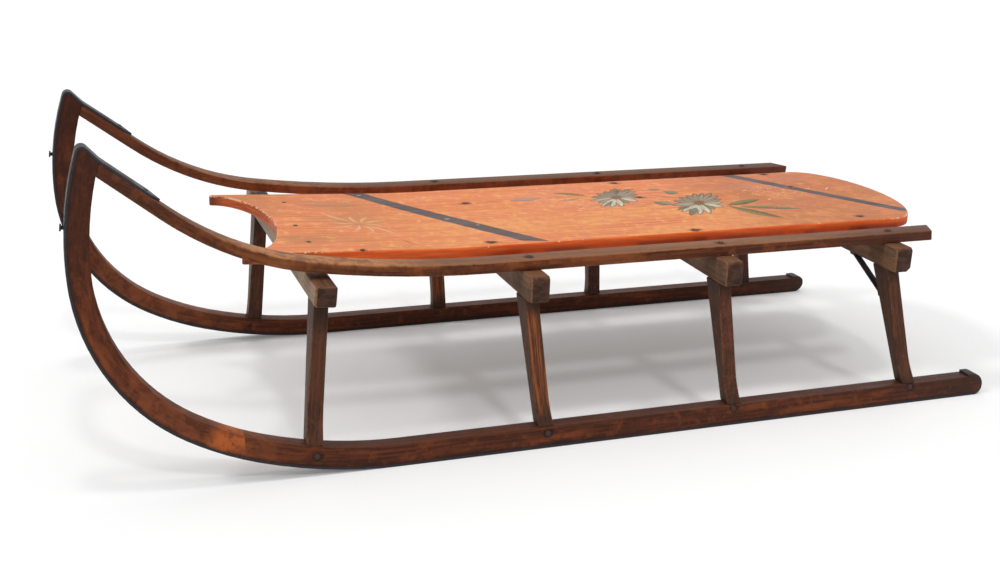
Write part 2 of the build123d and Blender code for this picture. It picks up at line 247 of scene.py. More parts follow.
# Wood
PORES = srgb(40, 24, 18)
BLACK_BROWN = srgb(34, 22, 18)
WOOD_SHINE = 0.14
BARE_PATCH = (0.3400, 0.1825, 0.0430)
SECOND_POSTS_X = 0.055
THIRD_POSTS_X = -0.150


def old_wood(name, grain, dark, mid, light, worn_top):
    """Dark varnished wood, rubbed lighter on top and on its edges.

    grain gives the length along the grain, two places across it, and how much a face is an edge."""
    s = Shade(name)
    along, across, deep, edge = grain(s)
    places = (along, across, deep)
    streak = s.streaks(places, (11.0, 420.0, 420.0), 4.0, 0.62)
    broad = s.streaks(places, (9.0, 70.0, 70.0), 3.0, 0.6)
    pores = s.streaks(places, (90.0, 1700.0, 1700.0), 2.0, 0.5)
    blots = s.noise(s.place, 21.0, 5.0, 0.62)
    chips = s.noise(s.place, 240.0, 3.0, 0.6)
    mottle = s.noise(s.place, 95.0, 4.0, 0.65)
    colour = s.mix(s.ramp(streak, 0.36, 0.64), dark, mid)
    colour = s.mix(s.ramp(broad, 0.50, 0.70, 0.0, 0.7), colour, light)
    blotchy = s.mix(s.ramp(blots, 0.4, 0.6), dark, light)
    colour = s.mix(s.ramp(mottle, 0.46, 0.66, 0.0, 0.65), colour, blotchy)
    colour = s.mix(s.ramp(blots, 0.52, 0.72, 0.0, 0.75), colour, dark)
    colour = s.mix(s.ramp(pores, 0.58, 0.72, 0.0, 0.5), colour, PORES)
    up = s.ramp(s.nz, 0.6, 0.92)
    wear = s.ramp(s.add(s.mul(streak, 0.45), s.mul(broad, 0.55)), 0.36, 0.60, 0.3, 1.0)
    colour = s.mix(s.mul(up, wear), colour, worn_top)
    rubbed = s.mul(edge, s.ramp(s.add(s.mul(chips, 0.4), s.mul(mottle, 0.6)), 0.43, 0.54, 0.0, 0.9))
    colour = s.mix(rubbed, colour, s.mix(0.5, worn_top, light))
    lines = s.add(s.mul(streak, 0.55), s.mul(pores, 0.45))
    return s, colour, lines


def finish_wood(s, colour, lines):
    """Sets a wood's colour, roughness, shine and grain."""
    s.put(s.bsdf.inputs["Base Color"], colour)
    s.put(s.bsdf.inputs["Roughness"], s.ramp(lines, 0.35, 0.65, 0.42, 0.66))
    s.bsdf.inputs["Specular IOR Level"].default_value = WOOD_SHINE
    s.put(s.bsdf.inputs["Normal"], s.bump(lines, 0.0007, 0.6))
    return s.mat


def lateral(s):
    """How far a face of a leaning side frame is turned to the frame's side, 0 to 1."""
    side = s.math("SIGN", s.y)
    out = s.add(s.mul(s.mul(s.ny, side), cos(LEAN_ANGLE)), s.mul(s.nz, sin(LEAN_ANGLE)))
    return s.absolute(out)


def frame_edge(s):
    """How much a face is a long edge of a runner or rail, 0 to 1."""
    turned = lateral(s)
    return s.mul(s.ramp(turned, 0.12, 0.45), s.ramp(turned, 0.97, 0.82))


def box_edge(s):
    """How much a face is an edge of a square-cut piece, 0 to 1."""
    most = s.most(s.most(s.absolute(s.nx), s.absolute(s.ny)), s.absolute(s.nz))
    return s.ramp(most, 0.95, 0.80)


def runner_grain(s):
    length, depth = s.along(RUNNER_START, RUNNER_BENDS)
    return length, depth, s.y, frame_edge(s)


def rail_grain(s):
    length, depth = s.along(RAIL_START, RAIL_BENDS)
    return length, depth, s.y, frame_edge(s)


def across_post(s):
    """Place across a post's side: the front post leans the other way, the rear one leans most."""
    lean = s.ramp(s.x, 0.10, 0.20, MIDDLE_POST_LEAN, FRONT_POST_LEAN, smooth=False)
    lean = s.add(lean, s.ramp(s.x, -0.22, -0.32, 0.0, REAR_POST_MORE_LEAN, smooth=False))
    return s.sub(s.x, s.mul(s.z, lean))


def post_grain(s):
    return s.z, across_post(s), s.y, box_edge(s)


def beam_grain(s):
    return s.y, s.x, s.z, box_edge(s)


def nearest(s, points, stretch=(1.0, 1.0, 1.0)):
    """Distance to the nearest of a few points."""
    best = None
    for point in points:
        gap = s.vector("MULTIPLY", s.vector("SUBTRACT", s.place, point), stretch)
        distance = s.vector("LENGTH", gap)
        best = distance if best is None else s.least(best, distance)
    return best


def stain_and_shade_patch(s, colour, points, reach, patch_colour, stretch=(1.0, 1.0, 1.0), amount=0.85):
    """A ragged patch round each of a few points: a mark of dirt and rust, and round sunken holes also
    their painted shade.
    """
    ragged = s.mul(s.sub(s.noise(s.place, 190.0, 3.0, 0.6), 0.5), reach * 1.3)
    gap = s.add(nearest(s, points, stretch), ragged)
    return s.mix(s.ramp(gap, reach * 0.45, reach, amount, 0.0), colour, patch_colour)


def runner_finish():
    """Red-brown wood, warmer at the bend, dark at nose, tail and lower edge, with one bare patch."""
    s, colour, lines = old_wood("runner_wood", runner_grain, srgb(62, 32, 20), srgb(98, 50, 30),
                                srgb(140, 72, 38), srgb(84, 54, 42))
    length, depth = s.along(RUNNER_START, RUNNER_BENDS)
    bend = s.mul(s.ramp(s.x, 0.27, 0.33), s.ramp(s.z, 0.14, 0.08))
    ragged = s.ramp(s.noise(s.place, 70.0, 4.0, 0.6), 0.40, 0.58, 0.25, 1.0)
    colour = s.mix(s.mul(s.mul(bend, ragged), 0.45), colour, srgb(150, 84, 50))
    low = s.ramp(s.add(depth, s.mul(s.noise(s.place, 90.0, 3.0, 0.6), 0.005)), 0.0045, 0.0085, 0.85, 0.0)
    colour = s.mix(low, colour, srgb(40, 27, 27))
    nose = s.ramp(s.z, 0.13, 0.26, 0.0, 0.6)
    colour = s.mix(nose, colour, srgb(56, 28, 18))
    tail = s.ramp(s.x, -0.33, -0.43, 0.0, 0.5)
    colour = s.mix(tail, colour, srgb(54, 38, 32))
    patch = s.ramp(nearest(s, (BARE_PATCH,), (1.0, 0.3, 1.7)), 0.010, 0.026, 0.8, 0.0)
    patch_start = BARE_PATCH[0] - 0.0122
    patch = s.mul(patch, s.ramp(s.x, patch_start, patch_start + 0.0010))
    grainy = s.ramp(s.noise(s.place, 130.0, 3.0, 0.6), 0.36, 0.56, 0.25, 1.0)
    colour = s.mix(s.mul(patch, grainy), colour, srgb(190, 100, 48))
    # Dark round each pin: dirt, and painted shade of the sunken hole it sits in
    colour = stain_and_shade_patch(s, colour, PINS, 0.0060, BLACK_BROWN, (0.8, 0.25, 1.1))
    return finish_wood(s, colour, lines)


def rail_finish():
    """Brown wood, golden where it rises, redder inside, dark at both ends and on top of the right rail."""
    s, colour, lines = old_wood("rail_wood", rail_grain, srgb(70, 34, 20), srgb(106, 56, 32),
                                srgb(150, 84, 44), srgb(136, 92, 60))
    nose = s.ramp(s.x, 0.30, 0.42, 0.0, 0.45)
    colour = s.mix(nose, colour, srgb(60, 36, 26))
    golden = s.mul(s.ramp(s.x, 0.12, 0.22), s.ramp(s.x, 0.37, 0.30))
    golden = s.mul(golden, s.ramp(s.nz, 0.15, 0.7, 0.1, 0.75))
    grainy = s.ramp(s.noise(s.place, 90.0, 4.0, 0.6), 0.38, 0.60)
    colour = s.mix(s.mul(golden, grainy), colour, srgb(190, 128, 78))
    inner = s.ramp(s.mul(s.ny, s.math("SIGN", s.y)), -0.4, -0.8, 0.0, 0.65)
    inner = s.mul(inner, s.ramp(s.x, 0.18, 0.34, 1.0, 0.15))
    colour = s.mix(s.mul(inner, s.ramp(grainy, 0.0, 1.0, 0.5, 1.0)), colour, srgb(168, 76, 40))
    rear = s.ramp(s.x, -0.20, -0.36, 0.0, 0.6)
    colour = s.mix(rear, colour, srgb(76, 42, 30))
    shaded = s.mul(s.ramp(s.y, -0.10, -0.12), s.ramp(s.nz, 0.5, 0.8, 0.0, 0.55))
    colour = s.mix(shaded, colour, srgb(70, 40, 32))
    # Dark round each screw: dirt, and painted shade of the countersunk hole it sits in
    colour = stain_and_shade_patch(s, colour, SCREWS, 0.0062, BLACK_BROWN, (0.8, 1.0, 1.0))
    return finish_wood(s, colour, lines)


def post_finish():
    """Dark wood, rubbed to warm wood on the second posts, with red specks on the third ones."""
    s, colour, lines = old_wood("post_wood", post_grain, srgb(58, 36, 28), srgb(82, 52, 38),
                                srgb(104, 64, 44), srgb(130, 92, 68))
    out = s.ramp(lateral(s), 0.6, 0.9)
    across = across_post(s)
    fine = s.streaks((s.z, across, s.y), (14.0, 420.0, 90.0), 3.0, 0.6)
    from_second = s.absolute(s.sub(s.x, SECOND_POSTS_X))
    rub = s.mul(s.mul(out, s.ramp(s.z, 0.025, 0.050)), s.ramp(s.z, 0.150, 0.120))
    rub = s.mul(rub, s.ramp(from_second, 0.05, 0.09, 0.8, 0.15))
    rub = s.mul(rub, s.ramp(fine, 0.44, 0.60, 0.1, 0.9))
    colour = s.mix(rub, colour, srgb(172, 96, 50))
    from_third = s.absolute(s.sub(s.x, THIRD_POSTS_X))
    specks = s.ramp(s.noise(s.place, 520.0, 2.0, 0.5), 0.60, 0.68, 0.0, 0.8)
    specks = s.mul(s.mul(out, s.ramp(from_third, 0.05, 0.09, 1.0, 0.0)), specks)
    colour = s.mix(specks, colour, srgb(140, 66, 56))
    # Painted light: front faces lighter and greyer, fully on the front posts and less further back
    front = s.ramp(s.nx, 0.5, 0.9, 0.0, 0.5)
    front = s.mul(front, s.ramp(s.x, 0.02, 0.10, 0.5, 1.0))
    colour = s.mix(front, colour, srgb(94, 72, 56))
    # Dirt and painted shade at the foot, where the posts meet the runners
    foot = s.ramp(s.add(s.z, s.mul(s.noise(s.place, 120.0, 3.0, 0.6), 0.012)), 0.026, 0.040, 0.55, 0.0)
    colour = s.mix(foot, colour, srgb(48, 32, 26))
    # Dirt and painted shade at the head, where the posts meet the beams
    head = s.ramp(s.add(s.z, s.mul(s.noise(s.place, 90.0, 3.0, 0.6), 0.03)), 0.142, 0.160, 0.0, 0.5)
    colour = s.mix(head, colour, srgb(48, 30, 24))
    return finish_wood(s, colour, lines)


def beam_finish():
    """Brown wood, pale on the front faces, most on the front beam's as painted light, dark with rings at
    the ends, worn at the corners.
    """
    s, colour, lines = old_wood("beam_wood", beam_grain, srgb(62, 38, 26), srgb(92, 60, 42),
                                srgb(118, 80, 54), srgb(116, 78, 54))
    # Pale front faces: a little on every beam as their own grey tone, much more on the front beam as
    # painted light
    front = s.ramp(s.nx, 0.5, 0.9)
    pale = s.mul(front, s.ramp(s.x, 0.18, 0.24, 0.2, 0.9))
    bare = s.mix(s.ramp(lines, 0.42, 0.58), srgb(126, 100, 76), srgb(168, 142, 112))
    colour = s.mix(pale, colour, bare)
    ends = s.ramp(s.absolute(s.ny), 0.6, 0.9, 0.0, 0.75)
    rings = s.streaks((s.x, s.y, s.z), (120.0, 20.0, 260.0), 4.0, 0.6)
    colour = s.mix(ends, colour, s.mix(s.ramp(rings, 0.40, 0.62), srgb(44, 30, 26), srgb(78, 52, 42)))
    corner = s.mul(s.ramp(s.nx, 0.35, 0.6), s.ramp(s.nx, 0.97, 0.85))
    corner = s.mul(corner, s.ramp(s.absolute(s.y), 0.150, 0.165))
    ragged = s.ramp(s.noise(s.place, 260.0, 3.0, 0.6), 0.40, 0.56, 0.1, 0.8)
    colour = s.mix(s.mul(corner, ragged), colour, srgb(136, 92, 66))
    return finish_wood(s, colour, lines)


def old_iron(name, dark, light, rusty):
    """Dull iron with pits and rust."""
    s = Shade(name)
    pits = s.noise(s.place, 700.0, 4.0, 0.6)
    rust = s.noise(s.place, 60.0, 5.0, 0.65)
    colour = s.mix(s.ramp(pits, 0.35, 0.7), dark, light)
    colour = s.mix(s.ramp(rust, 0.52, 0.72, 0.0, 0.75), colour, rusty)
    s.put(s.bsdf.inputs["Base Color"], colour)
    s.put(s.bsdf.inputs["Roughness"], s.ramp(rust, 0.4, 0.7, 0.45, 0.7))
    s.bsdf.inputs["Metallic"].default_value = 0.4
    s.put(s.bsdf.inputs["Normal"], s.bump(pits, 0.0004, 0.5))
    return s.mat


# The deck's paint
STROKE_SOFTNESS = 0.0008
PETAL_CURVE = 0.001
PETAL_FATNESS = 0.15
PETAL_START = 0.12
SHORTEST_PETAL = 0.76

# Strokes of at least this half width have an outline
BROAD_STROKE = 0.0040

STEM = srgb(118, 96, 68)
FAINT = srgb(166, 126, 100)
LEAF_DARK = srgb(72, 82, 56)
LEAF_LIGHT = srgb(124, 132, 88)
BUD_DARK = srgb(74, 86, 74)
BUD_LIGHT = srgb(136, 146, 114)
OUTLINE = srgb(66, 62, 46)
CHIP = srgb(255, 226, 180)

# Each stripe's place on the middle line, its slope, half width and near end
STRIPES = ((0.0925, -0.624, 0.0092, 0.1050), (-0.3681, -0.613, 0.0074, 0.0880))

# Each stroke's start and end, half width, curve, the colours of its two sides, and how much it covers
PLANTS = (
    ((-0.0370, -0.0502), (-0.0900, -0.0470), 0.0014, 0.001, STEM, FAINT, 0.6),
    ((-0.0600, -0.0700), (-0.0930, -0.0500), 0.0052, 0.003, LEAF_DARK, LEAF_LIGHT, 0.9),
    ((-0.0510, -0.0345), (-0.0890, -0.0480), 0.0028, -0.002, LEAF_LIGHT, FAINT, 0.7),
    ((0.0413, -0.0466), (-0.0080, -0.0520), 0.0009, 0.001, STEM, STEM, 0.6),
    ((-0.0020, -0.0490), (-0.0390, -0.0512), 0.0068, 0.0, srgb(132, 130, 128), srgb(158, 148, 138), 0.8),
    ((-0.0390, -0.0506), (-0.0640, -0.0560), 0.0009, 0.0, STEM, STEM, 0.6),
    ((-0.1420, -0.0610), (-0.1600, -0.0680), 0.0042, 0.001, LEAF_LIGHT, LEAF_DARK, 0.8),
    ((-0.1560, -0.0680), (-0.1760, -0.0600), 0.0012, -0.002, STEM, STEM, 0.8),
    ((-0.1740, -0.0630), (-0.1880, -0.0580), 0.0042, 0.0, BUD_DARK, BUD_LIGHT, 0.85),
    ((-0.1880, -0.0500), (-0.2020, -0.0400), 0.0090, 0.0, BUD_DARK, BUD_LIGHT, 0.9),
    ((-0.1645, -0.0434), (-0.1960, -0.0180), 0.0014, -0.003, STEM, LEAF_DARK, 0.85),
    ((-0.1550, -0.0110), (-0.1720, 0.0060), 0.0090, 0.001, BUD_DARK, BUD_LIGHT, 0.9),
    ((-0.1190, 0.0076), (-0.1560, -0.0050), 0.0020, -0.002, LEAF_LIGHT, FAINT, 0.6),
    ((-0.2310, 0.0230), (-0.2810, 0.0060), 0.0080, 0.002, LEAF_DARK, LEAF_LIGHT, 0.9),
    ((-0.2400, 0.0300), (-0.3070, 0.0540), 0.0062, 0.002, LEAF_DARK, LEAF_LIGHT, 0.9),
    ((-0.2310, 0.0240), (-0.2660, 0.0840), 0.0078, -0.002, LEAF_LIGHT, LEAF_DARK, 0.9),
    ((-0.2700, 0.0388), (-0.3460, 0.0390), 0.0007, 0.0, FAINT, FAINT, 0.6),
)
SCUFFS = (
    ((0.0520, -0.0500), (-0.0090, -0.0500), 0.0008, 0.001, srgb(150, 90, 58), srgb(150, 90, 58), 0.7),
    ((-0.2790, -0.0330), (-0.2900, -0.0370), 0.0010, 0.0, CHIP, CHIP, 0.8),
    ((-0.3600, -0.0520), (-0.3760, -0.0500), 0.0010, 0.0, CHIP, CHIP, 0.8),
    ((-0.2960, 0.0060), (-0.2890, 0.0090), 0.0012, 0.0, CHIP, CHIP, 0.8),
    ((0.2900, -0.0980), (0.2350, -0.0900), 0.0006, 0.002, srgb(120, 76, 56), srgb(120, 76, 56), 0.7),
    ((0.2880, -0.0840), (0.2500, -0.0930), 0.0005, 0.001, srgb(120, 76, 56), srgb(120, 76, 56), 0.6),
    ((0.2320, 0.0350), (0.2160, 0.0700), 0.0008, 0.001, srgb(158, 112, 84), srgb(158, 112, 84), 0.6),
    ((0.2230, 0.0330), (0.2080, 0.0660), 0.0008, 0.001, srgb(158, 112, 84), srgb(158, 112, 84), 0.5),
    ((0.2400, -0.0700), (0.1600, -0.0560), 0.0110, 0.0, srgb(164, 118, 90), srgb(196, 134, 100), 0.5),
    ((0.1575, 0.0740), (0.1465, 0.0965), 0.0013, 0.0, srgb(126, 74, 50), srgb(126, 74, 50), 0.6),
    ((0.2560, -0.0300), (0.2180, -0.0080), 0.0009, 0.002, srgb(150, 98, 72), srgb(150, 98, 72), 0.5),
    ((0.1590, -0.1000), (0.1520, -0.0980), 0.0012, 0.0, CHIP, CHIP, 0.8),
    ((0.0930, 0.0070), (0.0850, 0.0085), 0.0012, 0.0, CHIP, CHIP, 0.8),
    ((0.0680, 0.0360), (0.0620, 0.0375), 0.0011, 0.0, CHIP, CHIP, 0.8),
    ((-0.3200, -0.0080), (-0.3080, -0.0100), 0.0011, 0.0, CHIP, CHIP, 0.8),
    ((-0.3240, 0.0110), (-0.3110, 0.0090), 0.0010, 0.0, CHIP, CHIP, 0.8),
    ((-0.3950, -0.0300), (-0.3820, -0.0170), 0.0011, 0.0, CHIP, CHIP, 0.8),
    ((-0.3700, -0.0300), (-0.3580, -0.0260), 0.0010, 0.0, CHIP, CHIP, 0.7),
)

# The worn flower's middle, its petals' half width and their tips
WORN_FLOWER = (0.1831, 0.0160)
WORN_PETAL = 0.0032
WORN_TIPS = ((0.2149, -0.0321), (0.1550, 0.0049), (0.1607, 0.0265), (0.1539, 0.0612), (0.2133, 0.0071),
             (0.2161, 0.0288), (0.1866, -0.0130), (0.1690, -0.0090), (0.1945, 0.0420), (0.1760, 0.0480))

# Each daisy's middle, half length and breadth, slant in degrees, number of petals and first petal's turn
DAISIES = (((-0.1235, -0.0375), (0.049, 0.029), 50, 16, 0.3),
           ((-0.2050, 0.0045), (0.057, 0.031), 53, 17, 0.1))

# The daisies' longest petals: start, end and half width
LONG_PETALS = (((-0.1275, -0.0470), (-0.1405, -0.0765), 0.0052),
               ((-0.1129, -0.0259), (-0.0924, -0.0015), 0.0036),
               ((-0.1920, 0.0207), (-0.1690, 0.0530), 0.0050),
               ((-0.1890, 0.0140), (-0.1640, 0.0285), 0.0036))

# Where the deck is scratched most
SCRATCHED = ((-0.062, -0.020, DECK_TOP), (-0.320, -0.025, DECK_TOP))


class Brush:
    """Paints strokes and flowers on the deck, with lines that shake a little as a hand does."""

    def __init__(self, s):
        self.s = s
        shake = s.noise(s.place, 120.0, 2.0, 0.5)
        sway = s.noise(s.place, 45.0, 2.0, 0.5)
        self.x = s.add(s.x, s.mul(s.sub(shake, 0.5), 0.0022))
        self.y = s.add(s.y, s.mul(s.sub(sway, 0.5), 0.0040))
        self.top = s.ramp(s.nz, 0.75, 0.95)
        self.fine = s.streaks((s.x, s.y, 0.0), (260.0, 260.0, 1.0), 4.0, 0.7)

    def lay(self, under, mask, colour, amount=0.9, gone=0.40):
        """Paint over what is there, with small spots rubbed off."""
        s = self.s
        kept = s.ramp(self.fine, gone - 0.06, gone + 0.04, 0.25, 1.0)
        return s.mix(s.mul(s.mul(mask, self.top), s.mul(kept, amount)), under, colour)

    def linear(self, by_x, by_y, base):
        """A number that changes evenly across the deck."""
        s = self.s
        lengthwise = s.math("MULTIPLY_ADD", self.x, by_x, base)
        return s.math("MULTIPLY_ADD", self.y, by_y, lengthwise)

    def stroke(self, start, end, width, curve):
        """A lens-shaped stroke between two points: its mask, a point's place across it, its outline."""
        s = self.s
        x, y = start
        dx, dy = end[0] - x, end[1] - y
        span = dx * dx + dy * dy
        reach = span ** 0.5
        part = self.linear(dx / span, dy / span, -(x * dx + y * dy) / span)
        aside = self.linear(-dy / reach, dx / reach, (x * dy - y * dx) / reach)
        lens = s.lens(part)
        off = s.sub(aside, s.mul(lens, curve))
        inside = s.sub(s.mul(lens, width), s.absolute(off))
        mask = s.ramp(inside, 0.0, STROKE_SOFTNESS)
        outline = s.ramp(inside, 0.0017, 0.0006)
        return mask, s.ramp(off, -width, width), outline

    def band(self, middle, slope, half, end_y):
        """A straight stripe across the deck from its far edge to end_y."""
        s = self.s
        reach = hypot(1.0, slope)
        off = self.linear(1 / reach, -slope / reach, -middle / reach)
        across = s.ramp(s.sub(half, s.absolute(off)), -0.0003, 0.0004)
        stop = s.add(s.y, s.mul(off, 0.35))
        return s.mul(across, s.ramp(stop, end_y, end_y - 0.0015))

    def flower(self, middle, radii, slant, petals, phase):
        """A daisy: its mask, a random number for each petal, the direction as x and y, its outlines."""
        s = self.s
        x, y = middle
        long, short = radii
        cosine, sine = cos(radians(slant)), sin(radians(slant))
        dx = self.linear(cosine / long, sine / long, -(x * cosine + y * sine) / long)
        dy = self.linear(-sine / short, cosine / short, (x * sine - y * cosine) / short)
        radius = s.length(dx, dy)
        turn = s.add(s.mul(s.math("ARCTAN2", dy, dx), petals / (2 * pi)), phase)
        nearest_petal = s.math("ROUND", turn)
        number = s.math("FLOORED_MODULO", nearest_petal, float(petals))
        lot = s.tree.nodes.new("ShaderNodeTexWhiteNoise")
        lot.noise_dimensions = "1D"
        s.put(lot.inputs["W"], s.add(number, 0.37))
        chance = lot.outputs["Value"]
        reach = s.ramp(chance, 0.0, 1.0, SHORTEST_PETAL, 1.0, smooth=False)
        aside = s.mul(s.mul(s.absolute(s.sub(turn, nearest_petal)), 2 * pi / petals), radius)
        part = s.math("DIVIDE", s.sub(radius, PETAL_START), s.sub(reach, PETAL_START))
        width = s.mul(s.math("POWER", s.most(s.lens(part), 0.0), 0.6), PETAL_FATNESS)
        inside = s.sub(width, aside)
        return s.ramp(inside, 0.0, 0.03), chance, dx, dy, s.ramp(inside, 0.09, 0.03)


def deck_ground(s, streak, fine, cloud, patch):
    """Mottled orange paint, rosier on the right, dirty at the front, darker at the rear, scratched."""
    places = (s.x, s.y, s.z)
    dapple = s.noise(s.place, 88.0, 4.0, 0.65)
    colour = s.mix(s.ramp(streak, 0.34, 0.66), srgb(210, 114, 64), srgb(234, 150, 94))
    pale = s.mul(s.ramp(s.y, -0.06, 0.05, 0.25, 1.0), s.ramp(cloud, 0.40, 0.62))
    pale = s.mul(pale, s.ramp(s.x, 0.17, 0.10, 0.35, 1.0))
    colour = s.mix(s.mul(pale, 0.65), colour, srgb(232, 166, 106))
    rosy = s.mul(s.ramp(s.y, 0.02, -0.08), s.ramp(patch, 0.40, 0.60))
    colour = s.mix(s.mul(rosy, 0.5), colour, srgb(224, 126, 84))
    colour = s.mix(s.ramp(dapple, 0.50, 0.62, 0.0, 0.65), colour, srgb(216, 128, 96))
    colour = s.mix(s.ramp(dapple, 0.46, 0.34, 0.0, 0.6), colour, srgb(236, 174, 114))
    grime = s.mul(s.ramp(s.x, 0.10, 0.22), s.ramp(cloud, 0.44, 0.60))
    colour = s.mix(s.mul(grime, 0.6), colour, srgb(178, 122, 86))
    rear = s.mul(s.ramp(s.x, -0.17, -0.29), s.ramp(patch, 0.36, 0.58, 0.5, 1.0))
    colour = s.mix(s.mul(rear, 0.66), colour, srgb(172, 104, 70))
    colour = s.mix(s.ramp(fine, 0.58, 0.74, 0.0, 0.35), colour, srgb(206, 120, 78))
    specks = s.streaks(places, (120.0, 420.0, 1.0), 2.0, 0.5)
    colour = s.mix(s.ramp(specks, 0.70, 0.76, 0.0, 0.7), colour, srgb(250, 208, 156))
    scratches = s.streaks(places, (140.0, 900.0, 1.0), 2.0, 0.5, 0.6)
    around = s.ramp(nearest(s, SCRATCHED), 0.015, 0.055, 1.0, 0.0)
    scraped = s.mul(around, s.ramp(scratches, 0.60, 0.67))
    colour = s.mix(s.mul(scraped, 0.8), colour, srgb(252, 214, 170))
    return colour


def paint_stripes(brush, colour, streak):
    """Two slanting slate stripes."""
    s = brush.s
    slate = s.mix(s.ramp(streak, 0.36, 0.62), srgb(66, 66, 72), srgb(92, 88, 90))
    for middle, slope, half, end_y in STRIPES:
        colour = brush.lay(colour, brush.band(middle, slope, half, end_y), slate, 0.95, 0.30)
    return colour


def paint_strokes(brush, colour):
    """Stems, leaves and buds, then cracks and scuffs; broad strokes have an outline."""
    s = brush.s
    for start, end, width, curve, dark, light, amount in PLANTS + SCUFFS:
        mask, side, rim = brush.stroke(start, end, width, curve)
        tone = s.mix(side, dark, light)
        if width >= BROAD_STROKE:
            tone = s.mix(s.mul(rim, 0.75), tone, OUTLINE)
        colour = brush.lay(colour, mask, tone, amount)
    return colour


def paint_worn_flower(brush, colour):
    """A worn flower of long thin petals, which start a little out from its middle."""
    s = brush.s
    for tip in WORN_TIPS:
        start = tuple(0.85 * m + 0.15 * t for m, t in zip(WORN_FLOWER, tip))
        mask, side, rim = brush.stroke(start, tip, WORN_PETAL, PETAL_CURVE)
        tone = s.mix(side, srgb(186, 140, 100), srgb(236, 190, 140))
        colour = brush.lay(colour, mask, tone, 0.7, 0.40)
    return colour


def paint_daisies(brush, colour):
    """Two grey-white daisies, lighter to one side, with hairlines, dark outlines and brown hearts."""
    s = brush.s
    for middle, radii, slant, petals, phase in DAISIES:
        mask, chance, dx, dy, rim = brush.flower(middle, radii, slant, petals, phase)
        toward = s.ramp(s.add(s.mul(dx, 0.65), s.mul(dy, 0.6)), -0.5, 0.7)
        light = s.ramp(s.add(s.mul(toward, 0.75), s.mul(chance, 0.45)), 0.35, 1.0)
        petal = s.mix(light, srgb(126, 116, 98), srgb(184, 182, 156))
        hairs = s.streaks((s.math("ARCTAN2", dy, dx), dx, 0.0), (34.0, 1.2, 1.0), 3.0, 0.6)
        bright = s.mul(s.ramp(light, 0.25, 0.85, 0.25, 1.0), s.ramp(hairs, 0.50, 0.60))
        petal = s.mix(bright, petal, srgb(250, 248, 226))
        petal = s.mix(s.ramp(hairs, 0.45, 0.37, 0.0, 0.8), petal, srgb(92, 88, 70))
        petal = s.mix(s.mul(rim, 0.9), petal, srgb(84, 80, 62))
        petal = s.mix(s.ramp(chance, 0.12, 0.05, 0.0, 0.8), petal, srgb(98, 98, 78))
        colour = brush.lay(colour, mask, petal, 0.9, 0.34)
        heart = s.ramp(s.length(dx, dy), 0.18, 0.12)
        colour = brush.lay(colour, heart, srgb(112, 74, 50), 0.9)
    for start, end, width in LONG_PETALS:
        mask, side, rim = brush.stroke(start, end, width, PETAL_CURVE)
        colour = brush.lay(colour, mask, s.mix(side, srgb(84, 84, 68), srgb(120, 118, 98)), 0.85)
    return colour


def deck_sides(s, colour, patch, streak):
    """Red-orange edges and sides with chips of pale wood, and a bare underside."""
    edge = s.ramp(s.nz, 0.93, 0.70)
    plies = s.streaks((s.x, s.y, s.z), (26.0, 26.0, 320.0), 4.0, 0.6)
    orange = s.mix(s.ramp(plies, 0.35, 0.65), srgb(222, 90, 42), srgb(242, 112, 50))
    deep = s.mix(s.ramp(patch, 0.35, 0.62), srgb(198, 72, 28), srgb(150, 60, 32))
    low = s.ramp(s.add(s.z, s.mul(s.sub(patch, 0.5), 0.004)), 0.1800, 0.1745)
    low = s.mul(low, s.ramp(s.x, 0.10, 0.05, 0.5, 1.0))
    sides = s.mix(low, orange, deep)
    red_brown = s.mix(s.ramp(plies, 0.38, 0.62), srgb(126, 66, 42), srgb(168, 88, 54))
    sides = s.mix(s.ramp(s.x, 0.225, 0.262, 0.0, 0.75), sides, red_brown)
    sides = s.mix(s.ramp(s.x, 0.300, 0.312, 0.0, 0.7), sides, srgb(96, 48, 34))
    colour = s.mix(edge, colour, sides)
    chips = s.noise(s.place, 300.0, 3.0, 0.6)
    rim = s.mul(s.ramp(s.nz, 0.98, 0.85), s.ramp(s.nz, 0.25, 0.5))
    worn = s.most(s.ramp(s.x, -0.36, -0.41), s.mul(s.ramp(s.x, 0.22, 0.26), 0.6))
    worn = s.mul(s.mul(rim, worn), s.ramp(s.add(s.mul(chips, 0.6), s.mul(patch, 0.4)), 0.46, 0.54))
    colour = s.mix(worn, colour, srgb(244, 206, 164))
    sparse = s.mul(rim, s.ramp(chips, 0.66, 0.70, 0.0, 0.8))
    colour = s.mix(sparse, colour, srgb(250, 200, 146))
    under = s.ramp(s.nz, -0.4, -0.8)
    bare = s.mix(s.ramp(streak, 0.35, 0.65), srgb(112, 82, 60), srgb(140, 106, 78))
    return s.mix(under, colour, bare)


def deck_paint():
    """Old orange paint with stripes, flowers and stains round the nails, and bare wood below."""
    s = Shade("deck_paint")
    places = (s.x, s.y, s.z)
    streak = s.streaks(places, (6.0, 260.0, 1.0), 5.0, 0.65)
    fine = s.streaks(places, (28.0, 900.0, 1.0), 3.0, 0.6)
    cloud = s.streaks(places, (9.0, 22.0, 1.0), 4.0, 0.55)
    patch = s.noise(s.place, 34.0, 4.0, 0.6)
    colour = deck_ground(s, streak, fine, cloud, patch)
    brush = Brush(s)
    colour = paint_stripes(brush, colour, streak)
    colour = paint_strokes(brush, colour)
    colour = paint_worn_flower(brush, colour)
    colour = paint_daisies(brush, colour)
    colour = stain_and_shade_patch(s, colour, NAILS, 0.0075, srgb(168, 98, 62), (0.7, 1.0, 1.0), 0.8)
    colour = stain_and_shade_patch(s, colour, NAILS, 0.0050, srgb(64, 36, 26), (0.75, 1.0, 1.0), 0.9)
    colour = deck_sides(s, colour, patch, streak)
    s.put(s.bsdf.inputs["Base Color"], colour)
    s.put(s.bsdf.inputs["Roughness"], s.ramp(cloud, 0.35, 0.65, 0.50, 0.66))
    s.bsdf.inputs["Specular IOR Level"].default_value = 0.15
    height = s.add(s.mul(streak, 0.6), s.mul(fine, 0.4))
    s.put(s.bsdf.inputs["Normal"], s.bump(height, 0.0006, 0.5))
    return s.mat


